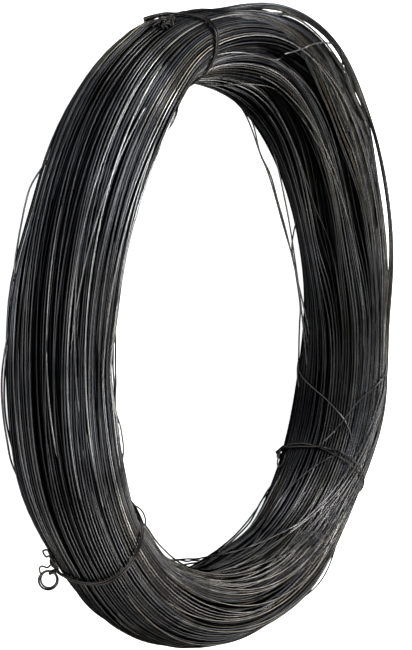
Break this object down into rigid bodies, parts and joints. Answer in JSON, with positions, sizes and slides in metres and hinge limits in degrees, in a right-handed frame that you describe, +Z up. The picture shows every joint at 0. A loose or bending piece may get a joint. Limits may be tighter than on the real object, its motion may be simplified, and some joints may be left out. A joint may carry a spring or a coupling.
{
  "type": "coil of steel wire",
  "caption": "Ring-shaped coil of thin black annealed steel wire, lying on its end, wound loosely and held by twisted ties of doubled wire.",
  "frame": {"origin": "on the surface that the coil lies on, under the middle of its overall length and breadth", "axes": "+Z up, along the coil's axis; +X to the side where the bundle is fullest; +Y to the side of back_tie"},
  "size_m": [0.5656, 0.5398, 0.0888],
  "materials": {
    "annealed_wire": "black annealed, dark oxide skin with a dull metallic sheen",
    "tie_wire": "black annealed, darker than the coil"
  },
  "bodies": {
    "root": {"wire_coil": "annealed_wire", "back_tie": "tie_wire", "left_tie": "tie_wire", "right_tie": "tie_wire"}
  },
  "joints": []
}
